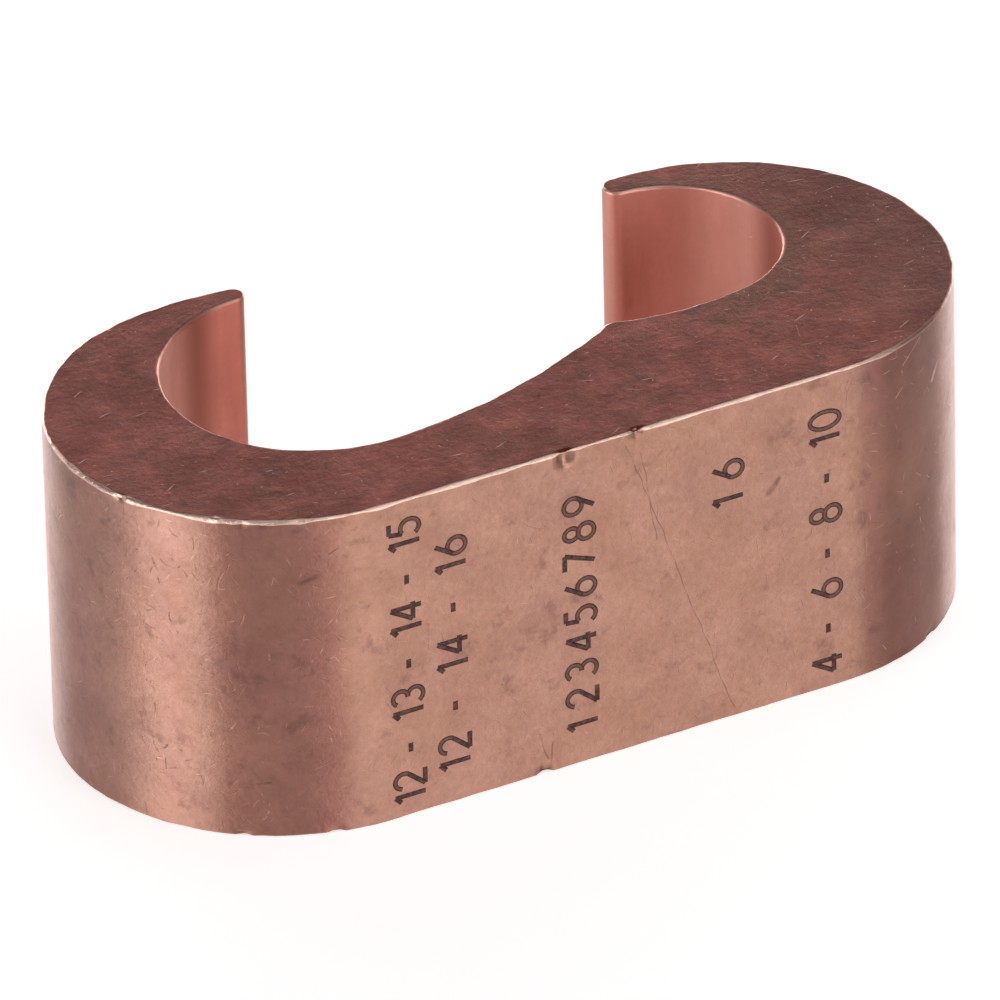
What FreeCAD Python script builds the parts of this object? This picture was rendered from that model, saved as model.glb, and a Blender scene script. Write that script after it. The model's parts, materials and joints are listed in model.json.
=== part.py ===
import FreeCAD, Part
import os
from dataclasses import dataclass
from math import atan2, cos, degrees, hypot, radians, sin, sqrt

# E-type compression connector: one length sawn from a copper bar of E-like section.
# Millimetres. The origin is on the rod groove's axis, in the lower sawn face. X runs along the
# flat back towards the tap groove, Y points out of the open side and Z runs along the bar.

cut_length = 21.3

# Rod end: the large groove, which takes a ground rod or the run cable. Thicknesses are of the
# metal round the groove. Angles are in degrees, from 0 outwards to 90 over the groove.
rod_groove_radius = 9.0
rod_floor_thickness = 6.4
rod_side_thickness = 8.2
rod_hook_thickness = 1.65
rod_heel_radius = 13.8
rod_heel_angle = -20.0
rod_crown_radius = 23.0
rod_crown_angle = 87.0
rod_nose_angle = 88.0
rod_ramp_radius = 35.0

# Tap end: the small groove, which takes the tap cable
groove_spacing = 24.4
tap_groove_radius = 6.55
tap_floor_thickness = 10.8
tap_side_thickness = 7.9
tap_hook_thickness = 1.75
tap_heel_radius = 12.5
tap_heel_angle = 15.0
tap_crown_radius = 14.0
tap_crown_angle = 70.0
tap_nose_angle = 86.0
tap_ramp_radius = 17.0

# Saddle between the grooves, where the two ramps meet in a rounded ridge
saddle_spacing = 17.0
saddle_height = 11.4
ridge_radius = 1.3

back_y = -(rod_groove_radius + rod_floor_thickness)


def along(start, length, angle):
    """Point at a distance from another point, in the direction of an angle."""
    return (start[0] + length * cos(radians(angle)), start[1] + length * sin(radians(angle)))


def direction(start, end):
    """Angle at which one point sees another."""
    return degrees(atan2(end[1] - start[1], end[0] - start[0]))


def distance(start, end):
    """Straight distance between two points."""
    return hypot(end[0] - start[0], end[1] - start[1])


def crossing(centre_a, radius_a, centre_b, radius_b):
    """Where two circles cross, to the right of the way from centre a to centre b."""
    span = distance(centre_a, centre_b)
    reach = (radius_a ** 2 - radius_b ** 2 + span ** 2) / (2 * span)
    heading = direction(centre_a, centre_b)
    foot = along(centre_a, reach, heading)
    return along(foot, sqrt(radius_a ** 2 - reach ** 2), heading - 90)


def arc_points(centre, radius, start, stop):
    """Start, middle and end of an arc."""
    return [along(centre, radius, angle) for angle in (start, (start + stop) / 2, stop)]


@dataclass
class End:
    """One end of the section, laid out from its own groove's axis with X pointing outwards."""

    axis_x: float
    outwards: int
    groove_radius: float
    floor_thickness: float
    side_thickness: float
    hook_thickness: float
    heel_radius: float
    heel_angle: float
    crown_radius: float
    crown_angle: float
    nose_angle: float
    ramp_radius: float

    def placed(self, point):
        """A point of this end's own layout, in the section."""
        return (self.axis_x + self.outwards * point[0], point[1])

    def local(self, point):
        """A point of the section, in this end's own layout."""
        return (self.outwards * (point[0] - self.axis_x), point[1])

    def groove_centre(self):
        """The groove's axis, which stands on the flat back by its floor and its radius."""
        return (0.0, back_y + self.floor_thickness + self.groove_radius)

    def side_radius(self):
        """Radius of the end's side, which brings the crown to its height over the groove."""
        heel_sine = sin(radians(self.heel_angle))
        crown_sine = sin(radians(self.crown_angle))
        height = self.floor_thickness + 2 * self.groove_radius + self.hook_thickness
        height -= self.heel_radius * (1 + heel_sine) + self.crown_radius * (1 - crown_sine)
        return height / (crown_sine - heel_sine)

    def heel_centre(self):
        """Centre of the heel's arc, which starts on the flat back and leads into the side."""
        widest = self.heel_radius
        if self.heel_angle < 0:
            step = self.heel_radius - self.side_radius()
            widest = self.side_radius() + step * cos(radians(self.heel_angle))
        return (self.groove_radius + self.side_thickness - widest, back_y + self.heel_radius)

    def side_centre(self):
        """Centre of the side's arc, on the line through the heel's last point."""
        step = self.heel_radius - self.side_radius()
        return along(self.heel_centre(), step, self.heel_angle)

    def crown_centre(self):
        """Centre of the crown's arc, on the line through the side's last point."""
        step = self.side_radius() - self.crown_radius
        return along(self.side_centre(), step, self.crown_angle)

    def nose(self):
        """Centre and radius of the hook's round tip, between the groove and the crown."""
        groove = self.groove_centre()
        crown = self.crown_centre()
        reach = self.groove_radius + self.crown_radius
        span = distance(groove, crown)
        lean = radians(direction(groove, crown) - self.nose_angle)
        to_nose = (reach ** 2 - span ** 2) / (2 * (reach - span * cos(lean)))
        return along(groove, to_nose, self.nose_angle), to_nose - self.groove_radius

    def ramp_centre(self, saddle):
        """Centre of the ramp's arc, which leaves the groove smoothly and climbs to the saddle."""
        step = self.ramp_radius - self.groove_radius
        return crossing(self.groove_centre(), step, self.local(saddle), self.ramp_radius)

    def arcs(self, ramp, ridge):
        """The whole end, from the flat back round the hook to the ridge."""
        groove = self.groove_centre()
        crown = self.crown_centre()
        nose, nose_radius = self.nose()
        nose_start = direction(crown, nose)
        ramp_start = direction(ramp, groove)
        ramp_stop = direction(ramp, self.local(ridge))
        arcs = [
            (self.heel_centre(), self.heel_radius, -90, self.heel_angle),
            (self.side_centre(), self.side_radius(), self.heel_angle, self.crown_angle),
            (crown, self.crown_radius, self.crown_angle, nose_start),
            (nose, nose_radius, nose_start, self.nose_angle + 180),
            (groove, self.groove_radius, self.nose_angle, ramp_start),
            (ramp, self.ramp_radius, ramp_start, ramp_stop),
        ]
        return [[self.placed(point) for point in arc_points(*arc)] for arc in arcs]


rod_end = End(0.0, -1, rod_groove_radius, rod_floor_thickness, rod_side_thickness,
              rod_hook_thickness, rod_heel_radius, rod_heel_angle, rod_crown_radius,
              rod_crown_angle, rod_nose_angle, rod_ramp_radius)
tap_end = End(groove_spacing, 1, tap_groove_radius, tap_floor_thickness, tap_side_thickness,
              tap_hook_thickness, tap_heel_radius, tap_heel_angle, tap_crown_radius,
              tap_crown_angle, tap_nose_angle, tap_ramp_radius)


def section():
    """Closed outline of the bar: each stretch as the two or three points that give it."""
    saddle = (saddle_spacing, back_y + saddle_height)
    rod_ramp = rod_end.ramp_centre(saddle)
    tap_ramp = tap_end.ramp_centre(saddle)
    rod_seen = rod_end.placed(rod_ramp)
    tap_seen = tap_end.placed(tap_ramp)
    ridge = crossing(rod_seen, rod_ramp_radius + ridge_radius,
                     tap_seen, tap_ramp_radius + ridge_radius)
    rod_arcs = rod_end.arcs(rod_ramp, ridge)
    tap_arcs = tap_end.arcs(tap_ramp, ridge)
    flat_back = [rod_arcs[0][0], tap_arcs[0][0]]
    ridge_arc = arc_points(ridge, ridge_radius, direction(ridge, tap_seen),
                           direction(ridge, rod_seen))
    return [flat_back] + tap_arcs + [ridge_arc] + [arc[::-1] for arc in reversed(rod_arcs)]


def edge(points):
    """Straight edge through two points, or arc through three."""
    vectors = [FreeCAD.Vector(x, y, 0) for x, y in points]
    if len(vectors) == 2:
        return Part.LineSegment(*vectors).toShape()
    return Part.Arc(*vectors).toShape()


def connector_body():
    """The sawn length: the section drawn out along the bar."""
    wire = Part.Wire([edge(points) for points in section()])
    return Part.Face(wire).extrude(FreeCAD.Vector(0, 0, cut_length))


os.makedirs("parts", exist_ok=True)
connector_body().exportStep("parts/connector_body.step")
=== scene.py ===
import json
from functools import partialmethod
from math import cos, pi, radians, sin

import bmesh
import bpy
import numpy as np
from mathutils import Matrix, Vector


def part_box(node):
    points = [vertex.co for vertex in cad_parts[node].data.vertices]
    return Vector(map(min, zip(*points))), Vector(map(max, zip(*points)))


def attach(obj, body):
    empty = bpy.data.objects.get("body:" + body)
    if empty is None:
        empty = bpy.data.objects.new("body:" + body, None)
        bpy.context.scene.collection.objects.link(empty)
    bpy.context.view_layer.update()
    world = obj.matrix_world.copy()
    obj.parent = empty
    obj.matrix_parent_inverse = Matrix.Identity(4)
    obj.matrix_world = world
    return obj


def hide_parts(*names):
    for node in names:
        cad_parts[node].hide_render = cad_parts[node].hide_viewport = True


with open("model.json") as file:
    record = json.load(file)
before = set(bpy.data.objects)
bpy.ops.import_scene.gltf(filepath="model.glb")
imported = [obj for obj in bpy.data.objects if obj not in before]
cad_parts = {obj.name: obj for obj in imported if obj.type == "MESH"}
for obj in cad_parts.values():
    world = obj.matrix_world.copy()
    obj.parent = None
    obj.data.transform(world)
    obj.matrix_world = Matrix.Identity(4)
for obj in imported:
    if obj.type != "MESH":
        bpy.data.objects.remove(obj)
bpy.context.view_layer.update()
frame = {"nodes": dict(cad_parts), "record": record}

MM = 0.001

# The camera of the photograph, in degrees and millimetres
camera_azimuth = -27.573
camera_elevation = 31.711
camera_roll = 1.296
camera_target = (10.423, -2.723, 10.546)
camera_distance = 991.05
camera_lens = 613.97
sensor_width = 36.0

# Section outline: spacing of its points, turn between points on tight curves, how many times
# longer than most steps a straight stretch is, and into how many parts it is cut
outline_step = 0.24
outline_turn = 9.0
straight_ratio = 5
straight_cuts = 6

# Rows of faces along the bar. Rim rows lie in each sawn face, round rows on its broken edge.
rim_rows = 4
round_rows = 6
wall_rows = 78
rim_width = 0.3
row_crowding = 1.35

# Sawn edges: radius of the broken edge, how much of it comes and goes, the scale of its waves, how
# much larger it is at the rod end's heel, and the lower edge's share of it
edge_break = 0.2
edge_variation = 0.5
edge_waves = 380.0
heel_wear = 0.5
lower_edge = 0.6

# How bright the broken edge is, as worn bare copper with a painted highlight, with 1 along the upper edge
# of the flat back: below, past the flat back at the tap end, and on the far and near side of the grooves'
# rims, which count up to rim_reach past them
lower_wear_and_sheen = 0.08
tap_wear_and_sheen = 0.28
far_rim_wear_and_sheen = 0.4
near_rim_wear_and_sheen = 0.12
rim_reach = 0.4

# Groove finish: how far it goes past the groove's radius, how far round the hook's nose and how far
# to its side, and up to what Y the ramps between the grooves have it
groove_margin = 0.3
nose_margin = 2.2
nose_side = 0.7
ramp_top = 5.0

# Upright share of a normal above which a face is part of a sawn end, and above which it is flat
sawn_slope = 0.8
flat_slope = 0.9

# Points closer than this in metres are one
joining = 1e-6

connector = "connector_body"
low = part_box(connector)[0]
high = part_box(connector)[1]
bar_length = (high[2] - low[2]) / MM
back_y = low[1] / MM
top_z = high[2] / MM
grooves = [mount for mount in frame["record"]["mounts"] if mount["kind"] == "clamp"]


def solid_outline(node):
    """Corner points of the node's lower face, in order round the section, in millimetres."""
    mesh = bmesh.new()
    mesh.from_mesh(frame["nodes"][node].data)
    bmesh.ops.remove_doubles(mesh, verts=mesh.verts, dist=joining)
    base = min(vertex.co.z for vertex in mesh.verts)
    rim = [edge for edge in mesh.edges if on_rim(edge, base)]
    after = {}
    for edge in rim:
        a, b = edge.verts
        after.setdefault(a.index, []).append(b.index)
        after.setdefault(b.index, []).append(a.index)
    mesh.verts.ensure_lookup_table()
    start = rim[0].verts[0].index
    loop = [start, after[start][0]]
    while loop[-1] != start:
        ways = [index for index in after[loop[-1]] if index != loop[-2]]
        loop.append(ways[0])
    points = np.array([mesh.verts[index].co[:2] for index in loop[:-1]]) / MM
    mesh.free()
    area = np.sum(points[:, 0] * np.roll(points[:, 1], -1) - points[:, 1] * np.roll(points[:, 0], -1))
    return points if area > 0 else points[::-1]


def on_rim(edge, base):
    """Whether an edge lies between the lower face and a wall."""
    if any(abs(vertex.co.z - base) > joining for vertex in edge.verts):
        return False
    upright = [abs(face.normal.z) < sawn_slope for face in edge.link_faces]
    return any(upright) and not all(upright)


def divide_straights(points):
    """The outline with its long straight stretches divided, so their ends can be told from arcs."""
    steps = np.linalg.norm(np.roll(points, -1, 0) - points, axis=1)
    divided = []
    for point, following, step in zip(points, np.roll(points, -1, 0), steps):
        pieces = straight_cuts if step > straight_ratio * np.median(steps) else 1
        divided += [point + (following - point) * part / pieces for part in range(pieces)]
    return np.array(divided)


def outline_headings(points):
    """Tangent angle at each point: the middle of three estimates, which is exact on tangent arcs."""
    chord = np.roll(points, -1, 0) - points
    heading = np.unwrap(np.arctan2(chord[:, 1], chord[:, 0]))
    turn = (heading - np.roll(heading, 1) + pi) % (2 * pi) - pi
    before = np.roll(heading, 1)
    from_before = before + np.roll(turn, 1) / 2
    from_here = before + turn / 2
    from_after = before + turn - np.roll(turn, -1) / 2
    return np.median([from_before, from_here, from_after], axis=0)


def smooth_outline(points):
    """Closely spaced points on the outline's own arcs."""
    headings = outline_headings(points)
    sampled = []
    for index in range(len(points)):
        following = (index + 1) % len(points)
        start, end = points[index], points[following]
        span = np.linalg.norm(end - start)
        turn = abs((headings[following] - headings[index] + pi) % (2 * pi) - pi)
        pieces = max(1, int(np.ceil(max(span / outline_step, np.degrees(turn) / outline_turn))))
        first = span * np.array([cos(headings[index]), sin(headings[index])])
        last = span * np.array([cos(headings[following]), sin(headings[following])])
        for part in range(pieces):
            t = part / pieces
            point = (2 * t ** 3 - 3 * t ** 2 + 1) * start + (t ** 3 - 2 * t ** 2 + t) * first
            point = point + (3 * t ** 2 - 2 * t ** 3) * end + (t ** 3 - t ** 2) * last
            sampled.append(point)
    return np.array(sampled)


def add_object(name, data):
    """A new object of the data, in the scene."""
    made = bpy.data.objects.new(name, data)
    bpy.context.scene.collection.objects.link(made)
    return made


def outline_curve(points):
    """Closed curve object of the section, in metres, which the bar's tree draws out."""
    data = bpy.data.curves.new("section_outline", "CURVE")
    data.dimensions = "3D"
    spline = data.splines.new("POLY")
    spline.points.add(len(points) - 1)
    flat = np.zeros((len(points), 4))
    flat[:, :2] = points * MM
    flat[:, 3] = 1
    spline.points.foreach_set("co", flat.ravel())
    spline.use_cyclic_u = True
    return add_object("section_outline", data)


class Bench:
    """A node tree, with short words for adding nodes and joining them."""

    def __init__(self, tree):
        self.tree = tree

    def feed(self, socket, value):
        """Link a socket to another one, or set its own value."""
        if isinstance(value, bpy.types.NodeSocket):
            self.tree.links.new(value, socket)
        else:
            socket.default_value = value

    def node(self, kind, inputs=None, **settings):
        """A node with its settings; inputs are given by name or place."""
        made = self.tree.nodes.new(kind)
        for name, value in settings.items():
            setattr(made, name, value)
        for name, value in (inputs or {}).items():
            self.feed(made.inputs[name], value)
        return made

    def first(self, kind, inputs=None, **settings):
        """A node's first output."""
        return self.node(kind, inputs, **settings).outputs[0]

    def math(self, operation, *values, clamped=False):
        """One Math node's result."""
        made = self.node("ShaderNodeMath", operation=operation, use_clamp=clamped)
        for socket, value in zip(made.inputs, values):
            self.feed(socket, value)
        return made.outputs[0]

    plus = partialmethod(math, "ADD")
    minus = partialmethod(math, "SUBTRACT")
    times = partialmethod(math, "MULTIPLY")
    over = partialmethod(math, "DIVIDE")

    def mix(self, share, first, second):
        """A number part of the way from the first to the second."""
        return self.first("ShaderNodeMix", {"Factor": share, "A": first, "B": second})

    def vector(self, operation, *values):
        """One Vector Math node's vector."""
        made = self.node("ShaderNodeVectorMath", operation=operation)
        for socket, value in zip(made.inputs, values):
            self.feed(socket, value)
        return made.outputs[0]

    def measure(self, operation, first, second):
        """One Vector Math node's number, from two vectors."""
        made = self.node("ShaderNodeVectorMath", {0: first, 1: second}, operation=operation)
        return made.outputs["Value"]

    def scaled(self, vector, factor):
        """A vector times a number."""
        return self.first("ShaderNodeVectorMath", {0: vector, "Scale": factor}, operation="SCALE")

    def split(self, vector):
        """A vector's X, Y and Z."""
        return self.node("ShaderNodeSeparateXYZ", {0: vector}).outputs

    def joined(self, **parts):
        """The vector of the given X, Y and Z."""
        return self.first("ShaderNodeCombineXYZ", parts)

    def turned(self, vector, angle):
        """A vector turned about Z."""
        inputs = {"Vector": vector, "Angle": angle}
        return self.first("ShaderNodeVectorRotate", inputs, rotation_type="Z_AXIS")

    def kept(self, name):
        """A value that the piece's geometry tree kept on its mesh."""
        return self.node("ShaderNodeAttribute", attribute_name=name).outputs["Fac"]

    def part_way(self, share, start, stop):
        """A number part of the way from start to stop, in even steps."""
        return self.ramp(share, 0.0, 1.0, start, stop, "LINEAR")

    def ramp(self, value, low, high, out_low=0.0, out_high=1.0, kind="SMOOTHSTEP"):
        """A value brought from one range to another, held at both ends."""
        ends = {"Value": value, "From Min": low, "From Max": high, "To Min": out_low, "To Max": out_high}
        return self.first("ShaderNodeMapRange", ends, interpolation_type=kind)

    def noise(self, vector, scale, detail=2.0, roughness=0.5):
        """Soft noise from 0 to 1."""
        inputs = {"Vector": vector, "Scale": scale, "Detail": detail, "Roughness": roughness}
        return self.first("ShaderNodeTexNoise", inputs)


def new_group(name, kind, inputs, outputs):
    """A node group with named sockets: its bench, what it is given and what it gives."""
    tree = bpy.data.node_groups.new(name, kind)
    for way, sockets in (("INPUT", inputs), ("OUTPUT", outputs)):
        for label, socket in sockets:
            tree.interface.new_socket(name=label, in_out=way, socket_type="NodeSocket" + socket)
    bench = Bench(tree)
    return bench, bench.node("NodeGroupInput").outputs, bench.node("NodeGroupOutput").inputs


def new_mask(name, numbers, vectors=("Vector",)):
    """A shader group that is given places and numbers, and gives one number called Mask."""
    inputs = [(label, "Vector") for label in vectors] + [(label, "Float") for label in numbers]
    return new_group(name, "ShaderNodeTree", inputs, [("Mask", "Float")])


def set_inputs(modifier, values):
    """Give a Geometry Nodes modifier its inputs by the sockets' identifiers."""
    sockets = modifier.node_group.interface.items_tree
    keys = {socket.name: socket.identifier for socket in sockets if socket.in_out == "INPUT"}
    for name, value in values.items():
        modifier[keys[name]] = value


def plain_mesh(name, source, tree, values):
    """The tree's result on a source object, as a mesh piece of its own."""
    modifier = source.modifiers.new(tree.name, "NODES")
    modifier.node_group = tree
    set_inputs(modifier, values)
    evaluated = source.evaluated_get(bpy.context.evaluated_depsgraph_get())
    mesh = bpy.data.meshes.new_from_object(evaluated)
    mesh.name = name
    bpy.data.objects.remove(source)
    return add_object(name, mesh)


def store(bench, geometry, name, value, kind="FLOAT", domain="POINT"):
    """Keep a value on the mesh under a name."""
    inputs = {"Geometry": geometry, "Name": name, "Value": value}
    return bench.first("GeometryNodeStoreNamedAttribute", inputs, data_type=kind, domain=domain)


def named(bench, name, kind="FLOAT"):
    """A value kept on the mesh under a name."""
    return bench.first("GeometryNodeInputNamedAttribute", {"Name": name}, data_type=kind)


def sampled(bench, geometry, value, index, kind):
    """What a geometry has at the point with an index."""
    inputs = {"Geometry": geometry, "Value": value, "Index": index}
    return bench.first("GeometryNodeSampleIndex", inputs, data_type=kind)


def positions(bench):
    """Where each point is."""
    return bench.first("GeometryNodeInputPosition")


def normals(bench):
    """Which way the surface faces."""
    return bench.first("GeometryNodeInputNormal")


def merged(bench, geometry):
    """Mesh whose touching points are joined."""
    inputs = {"Geometry": geometry, "Distance": joining}
    return bench.first("GeometryNodeMergeByDistance", inputs)


def sawn_length_tree():
    """Tree that draws the section outline out to a sawn length with broken edges and knocks."""
    bench, given, result = new_group("sawn length", "GeometryNodeTree", [
        ("Outline", "Geometry"), ("Knocks", "Object"), ("Length", "Float"), ("Rim rows", "Int"),
        ("Round rows", "Int"), ("Wall rows", "Int"), ("Rim width", "Float"), ("Row crowding", "Float"),
        ("Edge break", "Float"), ("Edge variation", "Float"), ("Heel wear", "Float"),
        ("Wall material", "Material"), ("Sawn material", "Material"),
    ], [("Geometry", "Geometry")])
    curve = given["Outline"]
    size = bench.node("GeometryNodeAttributeDomainSize", {"Geometry": curve}, component="CURVE")
    count = size.outputs["Point Count"]
    end_rows = bench.plus(given["Rim rows"], given["Round rows"])
    last_row = bench.plus(bench.times(end_rows, 2), given["Wall rows"])
    rows = bench.plus(last_row, 1)
    grid = bench.node("GeometryNodeMeshGrid", {"Vertices X": bench.plus(count, 1), "Vertices Y": rows})
    index = bench.first("GeometryNodeInputIndex")
    column = bench.math("FLOOR", bench.over(bench.plus(index, 0.5), rows))
    row = bench.minus(index, bench.times(column, rows))
    point = bench.math("MODULO", column, count)

    place = sampled(bench, curve, positions(bench), point, "FLOAT_VECTOR")
    heading = bench.first("GeometryNodeInputTangent")
    heading = sampled(bench, curve, heading, point, "FLOAT_VECTOR")
    travelled = bench.node("GeometryNodeSplineParameter").outputs["Length"]
    travelled = sampled(bench, curve, travelled, point, "FLOAT")
    round_length = bench.first("GeometryNodeCurveLength", {"Curve": curve})
    closing = bench.math("COMPARE", column, count, 0.5)
    travelled = bench.plus(travelled, bench.times(closing, round_length))
    outwards = bench.vector("CROSS_PRODUCT", heading, (0, 0, 1))

    upper = bench.math("GREATER_THAN", row, bench.times(last_row, 0.5))
    end_row = bench.math("MINIMUM", row, bench.minus(last_row, row))
    in_rim = bench.over(bench.minus(given["Rim rows"], end_row), given["Rim rows"], clamped=True)
    turned = bench.over(bench.minus(end_row, given["Rim rows"]), given["Round rows"], clamped=True)
    turned = bench.times(turned, pi / 2)
    half_wall = bench.times(given["Wall rows"], 0.5)
    in_wall = bench.over(bench.minus(end_row, end_rows), half_wall, clamped=True)
    in_wall = bench.math("POWER", in_wall, given["Row crowding"])

    radius = edge_radius(bench, given, place, upper)
    inset = bench.times(radius, bench.minus(1.0, bench.math("SINE", turned)))
    inset = bench.plus(inset, bench.times(given["Rim width"], in_rim))
    depth = bench.times(radius, bench.minus(1.0, bench.math("COSINE", turned)))
    to_middle = bench.minus(bench.times(given["Length"], 0.5), radius)
    depth = bench.plus(depth, bench.times(in_wall, to_middle))
    height = bench.mix(upper, depth, bench.minus(given["Length"], depth))
    moved = bench.vector("SUBTRACT", place, bench.scaled(outwards, inset))
    moved = bench.vector("ADD", moved, bench.joined(Z=height))
    walls = {"Geometry": grid.outputs["Mesh"], "Position": moved}
    walls = bench.first("GeometryNodeSetPosition", walls)

    # Which way each wall faces, in degrees; the painted reflection bands and the edge's painted highlight
    # follow it
    out = bench.split(outwards)
    facing = bench.math("ARCTAN2", out["X"], bench.times(out["Y"], -1.0))
    facing = bench.times(facing, 180 / pi)
    values = painted_reflection_bands(bench, facing)
    values["edge_wear"] = bright_edge(bench, facing, place, turned, upper)
    values["loose"] = bench.ramp(in_rim, 0.9, 0.3)
    for name, value in values.items():
        walls = store(bench, walls, name, value)
    laid_flat = bench.scaled(bench.joined(X=travelled, Y=height), 1 / MM)
    walls = store(bench, walls, "unrolled", laid_flat, "FLOAT_VECTOR")
    laid_flat = named(bench, "unrolled", "FLOAT_VECTOR")
    walls = store(bench, walls, "UVMap", laid_flat, "FLOAT2", "CORNER")

    body = knock(bench, given["Knocks"], add_caps(bench, given, merged(bench, walls)))
    smooth = bench.first("GeometryNodeSetShadeSmooth", {"Geometry": body})
    plain = bench.first("GeometryNodeRealizeInstances", {"Geometry": smooth})
    upright = bench.math("ABSOLUTE", bench.split(normals(bench))["Z"])
    is_sawn = bench.first("FunctionNodeCompare", {0: upright, 1: sawn_slope}, operation="GREATER_THAN")
    wall = {"Geometry": plain, "Material": given["Wall material"]}
    dressed = bench.first("GeometryNodeSetMaterial", wall)
    sawn = {"Geometry": dressed, "Selection": is_sawn, "Material": given["Sawn material"]}
    bench.feed(result["Geometry"], bench.first("GeometryNodeSetMaterial", sawn))
    return bench.tree


def edge_radius(bench, given, place, upper):
    """Radius of the broken edge, which comes and goes and is larger at the rod end's heel."""
    shifted = bench.vector("ADD", place, bench.scaled((0.0, 0.0, 0.37), upper))
    wavy = bench.noise(shifted, edge_waves, 3.0, 0.6)
    uneven = bench.ramp(wavy, 0.3, 0.7, -1.0, 1.0, "LINEAR")
    broken = bench.plus(bench.times(uneven, given["Edge variation"]), 1.0)
    across = bench.split(place)
    at_heel = bench.times(bench.ramp(across["X"], -0.005, -0.012), bench.ramp(across["Y"], 0.0, -0.006))
    broken = bench.times(broken, bench.plus(bench.times(at_heel, given["Heel wear"]), 1.0))
    radius = bench.times(given["Edge break"], broken)
    return bench.times(radius, bench.plus(bench.times(upper, 1 - lower_edge), lower_edge))


def painted_reflection_bands(bench, facing):
    """Painted reflection bands on the walls, by the way they face in degrees: a painted highlight, a paler
    painted grazing sheen, the flat back's painted reflection and a painted dark band.
    """

    def between(start, full, last, end):
        """Rises from start to full and falls from last to end."""
        return bench.times(bench.ramp(facing, start, full), bench.ramp(facing, last, end, 1.0, 0.0))

    def past(tap_start, tap_full, rod_start, rod_full):
        """Rises towards both ends of the section."""
        return bench.math("MAXIMUM", bench.ramp(facing, tap_start, tap_full),
                          bench.ramp(facing, rod_start, rod_full))

    heel = between(-88.0, -63.0, -47.0, -38.0)
    # Painted highlight on the heel and round both ends, paler painted grazing sheen further round, the flat
    # back's painted reflection, and a painted dark band between the flat back and the tap end
    return {
        "rubbed": bench.math("MAXIMUM", heel, past(32.0, 43.0, -88.0, -96.0)),
        "silvered": past(37.0, 45.0, -92.0, -101.0),
        "tanned": between(-16.0, -7.0, 3.0, 8.0),
        "tarnished": between(8.0, 16.0, 32.0, 42.0),
    }


def bright_edge(bench, facing, place, turned, upper):
    """How bright the broken edge is, from 0 to 1: worn bare copper, with a painted highlight that is
    strongest on the upper edge of the flat back and fades where the edge faces away.
    """
    wear_and_sheen = bench.ramp(bench.math("SINE", bench.times(turned, 2)), 0.0, 0.6)
    wear_and_sheen = bench.times(wear_and_sheen, bench.plus(bench.times(upper, 1 - lower_wear_and_sheen), lower_wear_and_sheen))
    wear_and_sheen = bench.times(wear_and_sheen, bench.ramp(facing, 6.0, 30.0, 1.0, tap_wear_and_sheen))
    at_rim = bench.ramp(bench.math("ABSOLUTE", facing), 60.0, 100.0, far_rim_wear_and_sheen, near_rim_wear_and_sheen)
    for groove in grooves:
        away = bench.measure("DISTANCE", place, (*groove["pos_m"][:2], 0))
        rim = (groove["dims"]["r_mm"] + groove_margin) * MM
        wear_and_sheen = bench.times(wear_and_sheen, bench.ramp(away, rim, rim + rim_reach * MM, at_rim, 1.0))
    return wear_and_sheen


def add_caps(bench, given, walls):
    """Fill both sawn faces inside the rims."""
    position = positions(bench)
    height = bench.split(position)["Z"]
    middle = bench.times(given["Length"], 0.5)
    faces = bench.first("GeometryNodeInputMeshEdgeNeighbors")
    is_open = bench.first("FunctionNodeCompare", {2: faces, 3: 1}, data_type="INT", operation="EQUAL")
    parts = [walls]
    for operation, level in (("LESS_THAN", 0.0), ("GREATER_THAN", given["Length"])):
        on_side = bench.first("FunctionNodeCompare", {0: height, 1: middle}, operation=operation)
        rim = bench.first("FunctionNodeBooleanMath", {0: is_open, 1: on_side}, operation="AND")
        loop = bench.first("GeometryNodeMeshToCurve", {"Mesh": walls, "Selection": rim})
        cap = bench.first("GeometryNodeFillCurve", {"Curve": loop})
        if operation == "LESS_THAN":
            cap = bench.first("GeometryNodeFlipFaces", {"Mesh": cap})
        raised = {"Geometry": cap, "Translation": bench.joined(Z=level)}
        cap = bench.first("GeometryNodeTransform", raised)
        parts.append(store(bench, cap, "UVMap", bench.scaled(position, 1 / MM), "FLOAT2", "CORNER"))
    together = bench.node("GeometryNodeJoinGeometry")
    for part in parts:
        bench.tree.links.new(part, together.inputs[0])
    return merged(bench, together.outputs[0])


def knock(bench, knocks, mesh):
    """Push the surface in or out round the nearest point of the knocks."""
    position = positions(bench)
    points = bench.node("GeometryNodeObjectInfo", {"Object": knocks}).outputs["Geometry"]
    inputs = {"Geometry": points, "Sample Position": position}
    nearest = bench.first("GeometryNodeSampleNearest", inputs)
    centre = sampled(bench, points, position, nearest, "FLOAT_VECTOR")
    reach = sampled(bench, points, named(bench, "reach"), nearest, "FLOAT")
    rise = sampled(bench, points, named(bench, "rise"), nearest, "FLOAT")
    away = bench.measure("DISTANCE", position, centre)
    near = bench.ramp(bench.over(away, reach), 0.3, 1.0, 1.0, 0.0)
    rise = bench.times(bench.times(rise, near), named(bench, "loose"))
    moved = {"Geometry": mesh, "Offset": bench.scaled(normals(bench), rise)}
    return bench.first("GeometryNodeSetPosition", moved)


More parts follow.
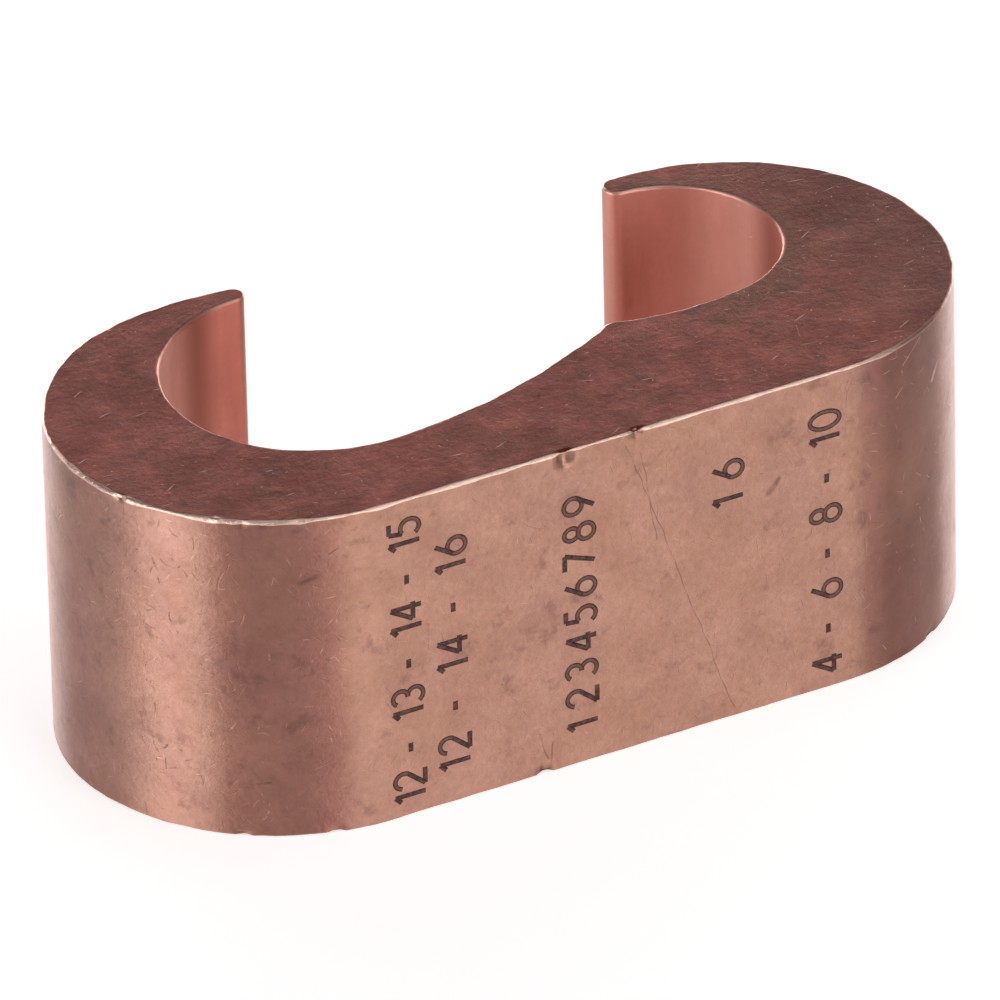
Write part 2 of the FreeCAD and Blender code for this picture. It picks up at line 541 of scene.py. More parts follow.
def burnt_strokes_tree():
    """Tree that gives each stroke a thin flat ribbon on the flat back."""
    bench, given, result = new_group("burnt strokes", "GeometryNodeTree", [
        ("Strokes", "Geometry"), ("Width", "Float"), ("Thickness", "Float"), ("Material", "Material"),
    ], [("Geometry", "Geometry")])
    spline = bench.node("GeometryNodeSplineLength").outputs["Length"]
    travelled = bench.node("GeometryNodeSplineParameter").outputs["Length"]
    from_end = bench.math("MINIMUM", travelled, bench.minus(spline, travelled))
    closed = bench.first("GeometryNodeInputSplineCyclic")
    paths = store(bench, given["Strokes"], "from_end", bench.plus(from_end, closed))
    facing = {"Curve": paths, "Normal": (0, -1, 0)}
    paths = bench.first("GeometryNodeSetCurveNormal", facing, mode="FREE")
    size = {"Width": given["Thickness"], "Height": given["Width"]}
    band = bench.first("GeometryNodeCurvePrimitiveQuadrilateral", size)
    side = bench.split(positions(bench))["Y"]
    band = store(bench, band, "across", bench.over(side, bench.times(given["Width"], 0.5)))
    swept = {"Curve": paths, "Profile Curve": band, "Fill Caps": True}
    ribbons = bench.first("GeometryNodeCurveToMesh", swept)
    plain = bench.first("GeometryNodeRealizeInstances", {"Geometry": ribbons})
    dressed = {"Geometry": plain, "Material": given["Material"]}
    bench.feed(result["Geometry"], bench.first("GeometryNodeSetMaterial", dressed))
    return bench.tree


# Size marks on the flat back: right side, lower end and upper end in millimetres, and the numbers.
# Strokes take turns on a few levels, so that no two that cross lie in one plane.
mark_height = 1.95
mark_stroke = 0.3
mark_thickness = 0.03
stroke_levels = 5
stroke_lift = 0.0015
oval_points = 30
size_marks = [
    (-1.45, 0.7, 20.0, "12 - 13 - 14 - 15"),
    (1.5, 2.0, 18.0, "12 - 14 - 16"),
    (9.85, 2.0, 17.8, "1 2 3 4 5 6 7 8 9"),
    (19.6, 14.2, 18.2, "16"),
    (26.0, 1.0, 18.9, "4 - 6 - 8 - 10"),
]


def bow(x, y, wide, tall, start, stop):
    """Points round part of an oval, from one angle to another."""
    steps = abs(stop - start) * oval_points // 360
    angles = [radians(start + (stop - start) * step / steps) for step in range(steps + 1)]
    return [(x + wide * cos(angle), y + tall * sin(angle)) for angle in angles]


def oval(x, y, wide, tall):
    """Points round a whole oval, closed by the spline."""
    return bow(x, y, wide, tall, 0, 360)[:-1]


# Strokes of each sign on a cell one high; a whole oval is closed
signs = {
    "0": [oval(0.31, 0.5, 0.29, 0.5)],
    "1": [[(0.16, 0.8), (0.36, 1.0)], [(0.36, 1.0), (0.36, 0.0)]],
    "2": [bow(0.3, 0.72, 0.26, 0.28, 170, -38), [(0.5, 0.54), (0.04, 0.0)], [(0.04, 0.0), (0.58, 0.0)]],
    "3": [bow(0.29, 0.75, 0.24, 0.25, 150, -90), bow(0.29, 0.26, 0.27, 0.26, 90, -150)],
    "4": [[(0.46, 0.0), (0.46, 1.0)], [(0.46, 1.0), (0.02, 0.27)], [(0.02, 0.27), (0.6, 0.27)]],
    "5": [[(0.52, 1.0), (0.16, 1.0)], [(0.16, 1.0), (0.1, 0.55)], bow(0.28, 0.31, 0.28, 0.31, 125, -145)],
    "6": [oval(0.31, 0.3, 0.28, 0.3), [(0.06, 0.42), (0.42, 1.0)]],
    "7": [[(0.04, 1.0), (0.57, 1.0)], [(0.57, 1.0), (0.2, 0.0)]],
    "8": [oval(0.31, 0.76, 0.21, 0.24), oval(0.31, 0.27, 0.27, 0.27)],
    "9": [oval(0.31, 0.7, 0.28, 0.3), [(0.56, 0.58), (0.2, 0.0)]],
    "-": [[(0.1, 0.45), (0.4, 0.45)]],
    " ": [],
}


def stroke_curve(marks):
    """All strokes of the size marks as one curve on the flat back; they read upwards."""
    data = bpy.data.curves.new("strokes", "CURVE")
    data.dimensions = "3D"
    for right, start, stop, text in marks:
        step = (stop - start) / len(text)
        for place, sign in enumerate(text):
            for stroke in signs[sign]:
                add_stroke(data, stroke, right, start + step * place)
    return add_object("strokes", data)


def add_stroke(data, stroke, right, start):
    """One stroke of a sign whose lower left corner stands at a height on the flat back."""
    spline = data.splines.new("POLY")
    spline.points.add(len(stroke) - 1)
    y = back_y - len(data.splines) % stroke_levels * stroke_lift
    for point, (over, up) in zip(spline.points, stroke):
        x = right - up * mark_height
        z = start + over * mark_height
        point.co = (x * MM, y * MM, z * MM, 1)
    spline.use_cyclic_u = len(stroke) == oval_points


# Knocks: where (X, Y, Z), reach and rise in millimetres. A rise below zero is a dent.
knock_list = [
    ((8.06, -15.5, 20.85), 0.72, -0.34),
    ((12.75, back_y, 21.2), 0.5, -0.2),
    ((-16.3, -6.9, 21.25), 0.4, -0.2),
    ((-16.05, -7.45, top_z), 0.45, 0.07),
    ((-12.58, -11.96, 21.25), 0.35, 0.1),
    ((-11.5, -12.83, 21.1), 0.35, -0.1),
    ((6.37, back_y, 0.2), 0.6, -0.22),
    ((-11.82, -12.59, 0.05), 0.5, -0.1),
    ((-7.0, -14.9, 0.05), 0.6, -0.12),
    ((33.0, -13.5, 0.1), 0.6, -0.12),
]


def knock_points(knocks):
    """The knocks as a mesh of loose points."""
    mesh = bpy.data.meshes.new("knocks")
    mesh.from_pydata([[value * MM for value in place] for place, _, _ in knocks], [], [])
    for name, column in (("reach", 1), ("rise", 2)):
        kept = mesh.attributes.new(name, "FLOAT", "POINT")
        kept.data.foreach_set("value", [knock[column] * MM for knock in knocks])
    return add_object("knocks", mesh)


def new_material(name, **fixed):
    """A material, its bench and its Principled shader's inputs, with the fixed values set."""
    material = bpy.data.materials.new(name)
    material.use_nodes = True
    shader = material.node_tree.nodes["Principled BSDF"].inputs
    for socket, value in fixed.items():
        shader[socket.replace("_", " ")].default_value = value
    return material, Bench(material.node_tree), shader


def scratches_group():
    """Straight fine scratches along the given vector's X, broken up and slightly fanned."""
    bench, given, result = new_mask("fine scratches", ("Turn", "Scale", "Stretch", "Amount"))
    scale = given["Scale"]
    turned = bench.turned(given["Vector"], given["Turn"])
    sway = bench.noise(turned, bench.times(scale, 0.4), 1.0)
    sway = bench.over(bench.times(bench.minus(sway, 0.5), 0.8), scale)
    swayed = bench.vector("ADD", turned, bench.joined(Y=sway))
    squeeze = bench.joined(X=bench.over(scale, given["Stretch"]), Y=scale, Z=scale)
    lines = bench.noise(bench.vector("MULTIPLY", swayed, squeeze), 6.0, 2.0, 0.6)
    start = bench.minus(0.78, given["Amount"])
    mask = bench.ramp(lines, start, bench.plus(start, 0.08))
    long_gaps = bench.vector("MULTIPLY", swayed, (0.2, 1.0, 1.0))
    gaps = bench.noise(long_gaps, bench.times(scale, 0.8), 2.0)
    bench.feed(result["Mask"], bench.times(mask, bench.ramp(gaps, 0.45, 0.6)))
    return bench.tree


def mottle_group():
    """Cloudy tone with finer grain in it, from 0 to 1."""
    bench, given, result = new_mask("mottled tone", ("Scale", "Grain", "Contrast"))
    broad = bench.noise(given["Vector"], given["Scale"], 3.0, 0.62)
    fine = bench.noise(given["Vector"], bench.times(given["Scale"], 9.0), 2.0, 0.7)
    spread = bench.times(bench.minus(bench.mix(given["Grain"], broad, fine), 0.5), given["Contrast"])
    bench.feed(result["Mask"], bench.plus(bench.times(spread, 2.5), 0.5, clamped=True))
    return bench.tree


def veins_group():
    """Fine dark cracks in the oxide, which wander and break off."""
    bench, given, result = new_mask("oxide veins", ("Scale", "Width", "Amount"))
    scale = given["Scale"]
    bend = bench.noise(given["Vector"], bench.times(scale, 1.6), 2.0)
    bend = bench.over(bench.minus(bend, 0.5), scale)
    bent = bench.vector("ADD", given["Vector"], bench.scaled((1.3, 0.9, 0.0), bend))
    cells = bench.node("ShaderNodeTexVoronoi", {"Vector": bent, "Scale": scale},
                       feature="DISTANCE_TO_EDGE", voronoi_dimensions="2D").outputs[0]
    line = bench.ramp(cells, 0.0, given["Width"], 1.0, 0.0)
    patches = bench.noise(given["Vector"], bench.times(scale, 0.5), 2.0)
    low = bench.minus(0.8, bench.times(given["Amount"], 0.5))
    bench.feed(result["Mask"], bench.times(line, bench.ramp(patches, low, bench.plus(low, 0.15))))
    return bench.tree


def nicks_group():
    """Separate short scratches, one in each cell at most, each with its own turn, bend and size."""
    bench, given, result = new_mask("short nicks", nick_inputs)
    cell = bench.node("ShaderNodeTexVoronoi", {"Vector": given["Vector"], "Scale": given["Scale"]},
                      voronoi_dimensions="2D").outputs
    chance = bench.node("ShaderNodeSeparateColor", {0: cell["Color"]}).outputs
    away = bench.vector("SUBTRACT", given["Vector"], cell["Position"])
    own_turn = bench.times(bench.minus(chance[0], 0.5), given["Spread"])
    local = bench.split(bench.turned(away, bench.plus(own_turn, given["Turn"])))
    bend = bench.times(bench.minus(chance[1], 0.5), given["Bend"])
    bowed = bench.plus(local["Y"], bench.times(bench.math("POWER", local["X"], 2.0), bend))
    reach = bench.times(given["Length"], bench.plus(chance[2], 0.3))
    over = bench.math("POWER", bench.over(local["X"], reach), 2.0)
    aside = bench.math("POWER", bench.over(bowed, given["Width"]), 2.0)
    inside = bench.ramp(bench.math("SQRT", bench.plus(over, aside)), 0.25, 1.0, 1.0, 0.0)
    again = bench.math("FRACT", bench.times(bench.plus(chance[1], chance[2]), 7.3))
    present = bench.math("LESS_THAN", again, given["Share"])
    strength = bench.plus(bench.math("FRACT", bench.times(again, 5.1)), 0.35)
    bench.feed(result["Mask"], bench.times(bench.times(inside, present), strength, clamped=True))
    return bench.tree


def long_scratch_group():
    """One long line from one place to another, which fades to both sides."""
    bench, given, result = new_mask("long scratch", ("Width",), ("Vector", "From", "To"))
    along = bench.vector("SUBTRACT", given["To"], given["From"])
    here = bench.vector("SUBTRACT", given["Vector"], given["From"])
    passed = bench.measure("DOT_PRODUCT", here, along)
    share = bench.over(passed, bench.measure("DOT_PRODUCT", along, along), clamped=True)
    away = bench.measure("DISTANCE", here, bench.scaled(along, share))
    bench.feed(result["Mask"], bench.ramp(away, 0.0, given["Width"], 1.0, 0.0))
    return bench.tree


def edge_wear_and_sheen_group():
    """Bare bright metal along the sawn edges, partly a painted highlight, uneven and broken, from the edge
    brightness that bright_edge keeps on the mesh.
    """
    bench, given, result = new_mask("edge wear and sheen", ("Scale", "Amount"))
    patches = bench.noise(given["Vector"], given["Scale"], 4.0, 0.7)
    low = bench.minus(0.75, bench.times(given["Amount"], 0.5))
    keep = bench.ramp(patches, low, bench.plus(low, 0.12))
    bench.feed(result["Mask"], bench.times(bench.kept("edge_wear"), keep))
    return bench.tree


# Short scratches: cells to the millimetre, length, width, share of cells that have one, bend, and
# spread and turn in radians, which are given only where they lie much the same way
nick_inputs = ("Scale", "Length", "Width", "Share", "Bend", "Spread", "Turn")
nick_kinds = {
    "wall gouges": (0.4, 0.75, 0.075, 0.5, 0.6), "wall": (0.85, 0.45, 0.045, 0.75, 1.6),
    "wall dots": (1.8, 0.18, 0.05, 0.4, 0.3), "wall bright": (0.95, 0.45, 0.04, 0.7, 1.8),
    "groove": (0.4, 0.25, 0.09, 0.3, 0.2), "sawn dark": (0.6, 0.6, 0.14, 0.4, 0.3),
    "sawn bright": (0.6, 0.6, 0.06, 0.3, 0.2, 1.4, 0.1), "sawn dots": (1.5, 0.14, 0.055, 0.14, 0.5),
}
any_way = (6.3, 0.0)

scratches = scratches_group()
mottle = mottle_group()
veins = veins_group()
edge_wear = edge_wear_and_sheen_group()
nicks = nicks_group()
long_scratch = long_scratch_group()

# Cloudy tones: blotches to the millimetre, share of fine grain, contrast and shift
mottles = {
    "wall": (0.26, 0.35, 1.35), "wall warmth": (0.16, 0.2, 1.1, (40, 11, 7)),
    "wall speckle": (1.7, 0.55, 1.4), "groove": (0.3, 0.3, 0.8), "groove runs": (0.5, 0.2, 1.3),
    "sawn": (0.3, 0.25, 1.1), "sawn blotches": (0.5, 0.3, 1.5, (9, 23, 0)),
    "sawn redness": (0.14, 0.1, 1.3, (50, 3, 0)),
}

# Colours of copper in linear light. A pair is the darker and the lighter end of a cloudy tone.
plain_walls = ((0.36, 0.143, 0.117), (0.46, 0.195, 0.158))
# Painted highlight, painted grazing sheen and painted reflection colours, laid on the walls by the way each
# wall faces
painted_highlight_walls = ((0.46, 0.245, 0.198), (0.58, 0.325, 0.265))
painted_grazing_sheen_walls = ((0.545, 0.345, 0.335), (0.665, 0.44, 0.425))
painted_back_reflection_walls = ((0.445, 0.23, 0.17), (0.57, 0.312, 0.234))
groove_walls = ((0.62, 0.3, 0.24), (0.74, 0.37, 0.3))
sawn_ends = ((0.16, 0.031, 0.022), (0.29, 0.07, 0.049))

# Stains down the whole of the groove walls: X and Y in millimetres, how wide and how strong
groove_stains = [(-3.46, 8.31, 2.1, 0.75), (30.95, 1.96, 2.3, 0.5), (29.2, 6.41, 4.4, 0.36)]

# Long scratches and smudges: both ends and width in millimetres. Dark and bright ones on the walls,
# bright ones on the upper sawn end and the stain beside its tap groove.
dark_scratches = [
    ((12.1, back_y, 20.5), (18.8, back_y, 0.5), 0.05),
    ((6.1, back_y, 2.9), (6.5, back_y, 1.0), 0.09),
    ((6.9, back_y, 2.0), (6.6, back_y, 0.6), 0.07),
    ((13.0, back_y, 19.8), (13.9, back_y, 13.6), 0.045),
    ((21.4, back_y, 14.4), (22.0, back_y, 15.2), 0.3),
    ((-8.6, -14.4, 17.1), (-7.5, -14.82, 17.5), 0.3),
    ((-17.15, -3.2, 13.6), (-17.0, -4.3, 13.0), 0.07),
    ((-15.2, -8.85, 3.6), (-14.6, -9.75, 4.0), 0.1),
    ((-11.1, -13.05, 3.6), (-10.5, -13.5, 3.7), 0.14),
]
corner_burr = ((33.83, -12.45, top_z), (34.3, -12.55, 20.67), 0.09)
bright_scratches = [
    ((30.57, -14.67, 19.8), (32.17, -13.96, 20.9), 0.07),
    ((30.06, -14.84, 17.88), (30.64, -14.64, 18.35), 0.06),
    ((33.34, -13.27, 17.27), (33.6, -13.1, 17.7), 0.22),
    ((33.6, -13.1, 17.6), (33.91, -12.86, 18.11), 0.12),
    corner_burr,
]
sawn_scratches = [
    corner_burr,
    ((28.77, -3.79, top_z), (29.01, -4.19, top_z), 0.07),
    ((27.81, -6.24, top_z), (28.66, -6.98, top_z), 0.08),
    ((29.26, -8.63, top_z), (29.76, -8.92, top_z), 0.08),
    ((19.2, -14.39, top_z), (19.18, -15.14, top_z), 0.05),
    ((33.64, -9.48, top_z), (34.85, -10.05, top_z), 0.07),
    ((26.31, -9.77, top_z), (25.91, -10.96, top_z), 0.05),
]
rim_smudges = [
    ((22.6, -6.9, top_z), (28.05, -5.33, top_z), 1.5),
    ((28.05, -5.33, top_z), (30.2, -2.6, top_z), 1.4),
]


def use(bench, group, **inputs):
    """Place a shader group; gives its one output."""
    node = bench.node("ShaderNodeGroup", node_tree=group)
    for name, value in inputs.items():
        bench.feed(node.inputs[name], value)
    return node.outputs[0]


def mottled(bench, place, kind):
    """A cloudy tone of one kind."""
    scale, grain, contrast, *shift = mottles[kind]
    if shift:
        place = bench.vector("ADD", place, shift[0])
    return use(bench, mottle, Vector=place, Scale=scale, Grain=grain, Contrast=contrast)


def nicked(bench, place, kind):
    """Short scratches of one kind."""
    return use(bench, nicks, Vector=place, **dict(zip(nick_inputs, nick_kinds[kind] + any_way)))


def scratch_lines(bench, place, routes):
    """Long scratches, each along its own route."""
    lines = 0.0
    for start, stop, width in routes:
        line = use(bench, long_scratch, Vector=place, From=start, To=stop, Width=width)
        lines = bench.plus(lines, line, clamped=True)
    return lines


def blend_colour(bench, factor, first, second):
    """One colour over another."""
    node = bench.node("ShaderNodeMix", data_type="RGBA")
    for place, value in ((0, factor), (6, first), (7, second)):
        bench.feed(node.inputs[place], (*value, 1) if isinstance(value, tuple) else value)
    return node.outputs[2]


def layered(bench, colour, layers):
    """A colour with others laid over it: for each its mask, its strength and its colour."""
    for mask, strength, layer in layers:
        share = mask if strength == 1 else bench.times(mask, strength)
        colour = blend_colour(bench, share, colour, layer)
    return colour


def finish_skin(bench, shader, colour, rough, grain, depth):
    """Give a shader its colour, its roughness and the relief of its grain, in millimetres deep."""
    bench.feed(shader["Base Color"], colour)
    bench.feed(shader["Roughness"], rough)
    relief = {"Height": grain, "Distance": depth * MM, "Strength": 1.0}
    bench.feed(shader["Normal"], bench.first("ShaderNodeBump", relief))


def new_wall_material(name, **fixed):
    """A metal material whose sheen runs round the section, as drawing leaves it."""
    material, bench, shader = new_material(name, Metallic=1.0, Anisotropic_Rotation=0.25, **fixed)
    round_section = bench.first("ShaderNodeTangent", direction_type="UV_MAP", uv_map="UVMap")
    bench.feed(shader["Tangent"], round_section)
    return material, bench, shader


def in_millimetres(bench):
    """Object coordinates in millimetres."""
    place = bench.node("ShaderNodeTexCoord").outputs["Object"]
    return bench.scaled(place, 1 / MM)


def unrolled(bench):
    """The piece's own UV map: distance round the section and along the bar, in millimetres."""
    return bench.node("ShaderNodeUVMap", uv_map="UVMap").outputs[0]


def wall_marks(bench, place, tanned):
    """Marks of handling on the walls: those cut in, all dark ones and the bright ones."""
    wall = unrolled(bench)
    shifted = bench.vector("ADD", wall, (3.1, 7.7, 0))
    crowded = bench.ramp(bench.noise(place, 0.33, 1.0), 0.38, 0.6, 0.12, 1.0)
    deep = bench.plus(nicked(bench, wall, "wall"), nicked(bench, shifted, "wall gouges"), clamped=True)
    deep = bench.times(deep, crowded)
    dark = bench.plus(deep, nicked(bench, wall, "wall dots"), clamped=True)
    # Fewer dark marks on the flat back, where its reflection is painted
    dark = bench.times(dark, bench.ramp(tanned, 0.0, 1.0, 0.65, 0.26))
    sway = bench.minus(bench.noise(place, 0.5, 1.0), 0.5)
    swayed = bench.vector("ADD", place, bench.scaled((0.6, 0.0, 0.0), sway))
    gaps = bench.ramp(bench.noise(place, 0.9, 1.0), 0.36, 0.56, 0.4, 1.0)
    lines = bench.times(scratch_lines(bench, swayed, dark_scratches), gaps)
    dark = bench.plus(bench.times(dark, 0.7), lines, clamped=True)
    bright = bench.times(nicked(bench, shifted, "wall bright"), crowded)
    lines = bench.times(scratch_lines(bench, swayed, bright_scratches), 1.15)
    return deep, dark, bench.plus(bright, lines)


def drawn_copper():
    """Outer walls: drawn copper, handled and knocked about, with painted reflection bands by the way each
    wall faces, and worn bare edges that are partly a painted highlight.
    """
    material, bench, shader = new_wall_material("drawn_copper", Anisotropic=0.9, Coat_Weight=0.35,
                                                Coat_Roughness=0.3)
    place = in_millimetres(bench)
    tone = mottled(bench, place, "wall")
    # The flat back's painted reflection, which also leaves fewer marks there
    tanned = bench.kept("tanned")
    deep, dark, bright = wall_marks(bench, place, tanned)
    handled = bench.minus(1.0, bench.times(tanned, 0.6))
    deep = bench.times(deep, handled)
    smudge = bench.ramp(bench.noise(bench.vector("ADD", place, (5, 0, 13)), 0.6, 4.0, 0.62), 0.56, 0.72)
    bare_and_sheen = use(bench, edge_wear, Vector=place, Scale=0.45, Amount=1.1)
    colour = layered(bench, blend_colour(bench, tone, *plain_walls), [
        # Painted reflection bands by the way each wall faces: highlight, grazing sheen, the flat back's
        # reflection and a dark band
        (bench.kept("rubbed"), 1, blend_colour(bench, tone, *painted_highlight_walls)),
        (bench.kept("silvered"), 1, blend_colour(bench, tone, *painted_grazing_sheen_walls)),
        (tanned, 1, blend_colour(bench, tone, *painted_back_reflection_walls)),
        (bench.kept("tarnished"), 0.9, (0.225, 0.068, 0.052)),
        (mottled(bench, place, "wall warmth"), 0.45, (0.52, 0.265, 0.15)),
        (mottled(bench, place, "wall speckle"), 0.45, (0.33, 0.145, 0.115)),
        (smudge, 0.5, (0.2, 0.09, 0.078)),
        (dark, 0.65, (0.14, 0.06, 0.05)),
        (bench.times(bright, handled), 0.45, (0.85, 0.6, 0.5)),
        # Worn bare copper on the broken edges, partly a painted highlight
        (bare_and_sheen, 1, (0.93, 0.63, 0.52)),
    ])
    rough = bench.minus(bench.part_way(tone, 0.54, 0.46), bench.times(bare_and_sheen, 0.14))
    grain = bench.noise(place, 3.2, 4.0, 0.68)
    grain = bench.times(grain, bench.plus(bench.times(bench.kept("edge_wear"), 2.5), 1.1))
    grain = bench.minus(grain, bench.times(deep, 1.1))
    finish_skin(bench, shader, colour, rough, grain, 0.022)
    return material


def groove_copper():
    """Groove walls: clean salmon copper with soft stains that run down and faint drawing lines."""
    material, bench, shader = new_wall_material("groove_copper", Anisotropic=0.35)
    place = in_millimetres(bench)
    wall = unrolled(bench)
    drawn_out = bench.vector("MULTIPLY", wall, (1, 0.12, 1))
    tone = mottled(bench, place, "groove")
    stains = []
    for x, y, width, strength in groove_stains:
        stain = scratch_lines(bench, place, [((x, y, bar_length), (x, y, 0.0), width)])
        stains.append((stain, strength, (0.33, 0.12, 0.085)))
    colour = layered(bench, blend_colour(bench, tone, *groove_walls), [
        (mottled(bench, drawn_out, "groove runs"), 0.4, (0.5, 0.22, 0.17)),
        *stains,
        (nicked(bench, wall, "groove"), 0.35, (0.8, 0.55, 0.46)),
        # Worn bare copper on the broken edges, partly a painted highlight
        (use(bench, edge_wear, Vector=place, Scale=0.45, Amount=1.0), 0.8, (0.9, 0.58, 0.47)),
    ])
    rough = bench.part_way(tone, 0.55, 0.48)
    finish_skin(bench, shader, colour, rough, bench.noise(drawn_out, 3.0, 3.0, 0.6), 0.008)
    return material


def line_grooves(piece, material):
    """Give the faces of the grooves, the ramps between them and the hooks' noses their own material."""
    piece.data.materials.append(material)
    slot = len(piece.data.materials) - 1
    rod_axis, tap_axis = [groove["pos_m"][0] for groove in grooves]
    for face in piece.data.polygons:
        if abs(face.normal.z) >= flat_slope:
            continue
        on_ramp = rod_axis < face.center.x < tap_axis and face.center.y < ramp_top * MM
        if on_ramp and face.normal.y > 0:
            face.material_index = slot
        for groove, side in zip(grooves, (-1, 1)):
            away = Vector(face.center[:2]) - Vector(groove["pos_m"][:2])
            past_radius = away.length / MM - groove["dims"]["r_mm"]
            on_groove = past_radius < groove_margin and away.dot(Vector(face.normal[:2])) < 0
            on_nose = past_radius < nose_margin and away.y > 0 and away.x * side < nose_side * MM
            if on_groove or on_nose:
                face.material_index = slot


def rim_stain(bench, place):
    """Brown stain on the sawn ends, close round the tap groove."""
    groove = grooves[-1]
    axis = (groove["pos_m"][0] / MM, groove["pos_m"][1] / MM, 0)
    away = bench.measure("DISTANCE", bench.vector("MULTIPLY", place, (1, 1, 0)), axis)
    radius = groove["dims"]["r_mm"]
    close = bench.ramp(away, radius + 0.2, radius + 2.2, 1.0, 0.0)
    patches = bench.ramp(bench.noise(place, 0.3, 3.0, 0.6), 0.42, 0.58)
    smudges = bench.times(scratch_lines(bench, place, rim_smudges), 0.85)
    return bench.math("MAXIMUM", bench.times(close, patches), smudges)


def sawn_copper():
    """Sawn ends: dull blotched oxide with fine saw lines, smudged cracks and a few bright nicks."""
    material, bench, shader = new_material("sawn_copper", Metallic=1.0, Specular_Tint=(0.98, 0.92, 0.89, 1))
    place = in_millimetres(bench)
    tone = mottled(bench, place, "sawn")
    tap_end = bench.ramp(bench.split(place)["X"], 26.0, 38.0)
    cracks = use(bench, veins, Vector=place, Scale=0.5, Width=0.16, Amount=0.5)
    smudge = bench.ramp(bench.noise(bench.vector("ADD", place, (2, 8, 1)), 0.55, 3.0, 0.55), 0.54, 0.72)
    dark = bench.plus(bench.times(cracks, 0.6), nicked(bench, place, "sawn dark"), clamped=True)
    dark = bench.plus(dark, bench.times(smudge, 0.7), clamped=True)
    saw = use(bench, scratches, Vector=place, Turn=0.1, Scale=1.5, Stretch=30.0, Amount=0.14)
    bright = bench.plus(nicked(bench, place, "sawn bright"), nicked(bench, place, "sawn dots"))
    lines = bench.times(scratch_lines(bench, place, sawn_scratches), 0.5)
    bare_and_sheen = use(bench, edge_wear, Vector=place, Scale=0.45, Amount=1.1)
    colour = layered(bench, blend_colour(bench, tone, *sawn_ends), [
        (mottled(bench, place, "sawn blotches"), 0.55, (0.085, 0.021, 0.015)),
        (mottled(bench, place, "sawn redness"), 0.25, (0.28, 0.062, 0.045)),
        (tap_end, 0.6, (0.085, 0.022, 0.017)),
        (rim_stain(bench, place), 0.6, (0.085, 0.038, 0.022)),
        (dark, 0.5, (0.05, 0.022, 0.018)),
        (saw, 0.35, (0.36, 0.14, 0.11)),
        (bench.plus(bright, lines, clamped=True), 0.5, (0.66, 0.36, 0.29)),
        # Worn bare copper on the broken edges, partly a painted highlight
        (bare_and_sheen, 1, (0.93, 0.66, 0.55)),
    ])
    rough = bench.minus(bench.part_way(tone, 0.62, 0.5), bench.times(bare_and_sheen, 0.15))
    finish_skin(bench, shader, colour, rough, bench.noise(place, 1.8, 5.0, 0.75), 0.04)
    return material


def burnt_mark():
    """Size marks: dark lines burnt into the copper, darkest along both sides of a stroke."""
    material, bench, shader = new_material("burnt_mark", Metallic=0.7, Roughness=0.55)
    place = in_millimetres(bench)
    side = bench.ramp(bench.math("ABSOLUTE", bench.kept("across")), 0.3, 0.7)
    end = bench.ramp(bench.over(bench.kept("from_end"), MM), 0.03, 0.1, 1.0, 0.0)
    fine = bench.times(bench.noise(place, 9.0, 2.0, 0.7), 0.5)
    worn = bench.ramp(bench.plus(bench.noise(place, 2.6, 3.0, 0.7), fine), 0.6, 1.0)
    colour = layered(bench, (0.155, 0.075, 0.06), [
        (bench.math("MAXIMUM", side, end), 1, (0.055, 0.027, 0.026)),
        (worn, 0.6, (0.24, 0.12, 0.09)),
    ])
    bench.feed(shader["Base Color"], colour)
    return material


def white_floor():
    """Pale paper that keeps its shadow and stays white to the camera and in reflections."""
    material, bench, shader = new_material("white_floor", Roughness=0.9)
    shader["Base Color"].default_value = (0.8, 0.8, 0.8, 1)
    rays = bench.node("ShaderNodeLightPath").outputs
    seen = bench.plus(rays["Is Camera Ray"], rays["Is Glossy Ray"])
    seen = bench.plus(seen, rays["Is Transmission Ray"], clamped=True)
    glow = bench.first("ShaderNodeEmission", {"Color": (1, 1, 1, 1), "Strength": floor_glow})
    paper = material.node_tree.nodes["Principled BSDF"]
    both = bench.first("ShaderNodeAddShader", {0: paper.outputs[0], 1: glow})
    mixed = bench.first("ShaderNodeMixShader", {0: seen, 1: paper.outputs[0], 2: both})
    bench.feed(material.node_tree.nodes["Material Output"].inputs["Surface"], mixed)
    return material


def photo_camera():
    """The camera of the photograph."""
    data = bpy.data.cameras.new("photo_camera")
    data.lens = camera_lens
    data.sensor_width = sensor_width
    camera = add_object("photo_camera", data)
    towards = bearing(camera_azimuth, camera_elevation)
    camera.location = (Vector(camera_target) + towards * camera_distance) * MM
    aimed = (-towards).to_track_quat("-Z", "Y").to_matrix()
    camera.rotation_euler = (aimed @ Matrix.Rotation(radians(-camera_roll), 3, "Z")).to_euler()
    bpy.context.scene.camera = camera


def bearing(azimuth, elevation):
    """Unit vector towards an azimuth round the object and an elevation above the floor."""
    flat = cos(radians(elevation))
    side = radians(azimuth)
    return Vector((sin(side) * flat, -cos(side) * flat, sin(radians(elevation))))


def softbox(name, azimuth, elevation, distance, width, height, brightness):
    """A rectangular lamp that faces the connector; brightness is what a mirror would show."""
    data = bpy.data.lights.new(name, "AREA")
    data.shape = "RECTANGLE"
    data.size = width
    data.size_y = height
    data.energy = brightness * pi * width * height
    lamp = add_object(name, data)
    towards = bearing(azimuth, elevation)
    lamp.location = Vector(camera_target) * MM + towards * distance
    lamp.rotation_euler = (-towards).to_track_quat("-Z", "Y").to_euler()
    lamp.visible_camera = False


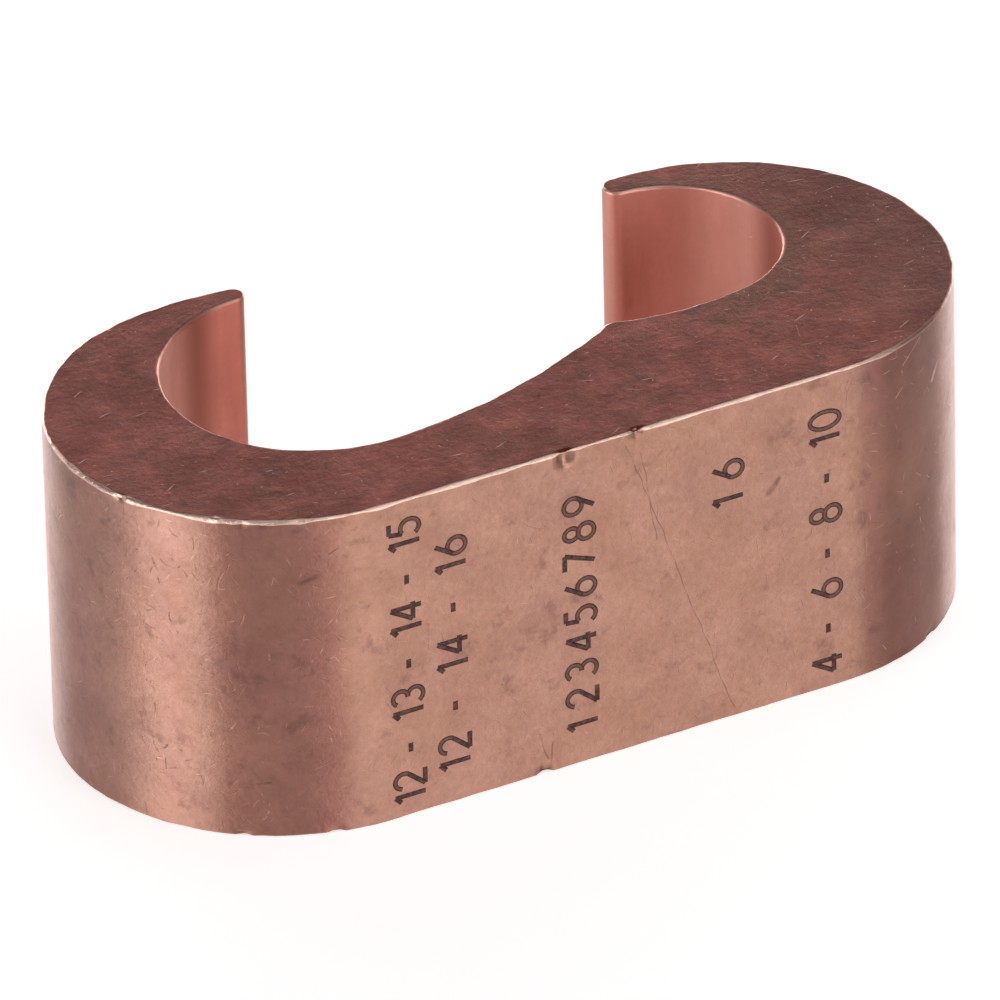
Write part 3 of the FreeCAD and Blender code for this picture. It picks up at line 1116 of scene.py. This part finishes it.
def studio():
    """Floor, sky and lamps."""
    mesh = bpy.data.meshes.new("floor")
    half = floor_size / 2
    corners = [(-half, -half, 0), (half, -half, 0), (half, half, 0), (-half, half, 0)]
    mesh.from_pydata(corners, [], [(0, 1, 2, 3)])
    floor = add_object("floor", mesh)
    mesh.materials.append(white_floor())
    for lamp in lamps:
        softbox(*lamp)
    world = bpy.data.worlds.new("sky")
    bpy.context.scene.world = world
    world.use_nodes = True
    bench = Bench(world.node_tree)
    rays = bench.node("ShaderNodeLightPath").outputs
    strength = bench.ramp(rays["Is Camera Ray"], 0.0, 1.0, sky_strength, 1.0, "LINEAR")
    background = world.node_tree.nodes["Background"]
    background.inputs["Color"].default_value = (1, 1, 1, 1)
    bench.feed(background.inputs["Strength"], strength)


# Studio: sizes in metres, brightness with 1 as white. A lamp has its azimuth and elevation round
# the connector, its distance, width, height and brightness.
floor_size = 6.0
floor_glow = 0.58
sky_strength = 0.12
lamps = [
    ("overhead", 40.0, 66.0, 1.0, 0.8, 0.8, 1.1),
    ("left", -77.0, 13.0, 1.0, 0.58, 0.44, 6.4),
    ("front", 11.0, 14.0, 1.0, 0.58, 0.48, 3.7),
    ("back", 152.0, 10.0, 1.0, 2.2, 0.34, 6.0),
]

outline = smooth_outline(divide_straights(solid_outline(connector)))
bar = plain_mesh("connector_bar", outline_curve(outline), sawn_length_tree(), {
    "Knocks": knock_points(knock_list), "Length": bar_length * MM, "Rim rows": rim_rows,
    "Round rows": round_rows, "Wall rows": wall_rows, "Rim width": rim_width * MM,
    "Row crowding": row_crowding, "Edge break": edge_break * MM, "Edge variation": edge_variation,
    "Heel wear": heel_wear, "Wall material": drawn_copper(), "Sawn material": sawn_copper(),
})
bpy.data.objects.remove(bpy.data.objects["knocks"])
line_grooves(bar, groove_copper())
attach(bar, "root")
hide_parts(connector)
numbers = plain_mesh("size_marks", stroke_curve(size_marks), burnt_strokes_tree(), {
    "Width": mark_stroke * MM, "Thickness": mark_thickness * MM, "Material": burnt_mark(),
})
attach(numbers, "root")

photo_camera()
studio()
bpy.context.scene.view_settings.view_transform = "Standard"
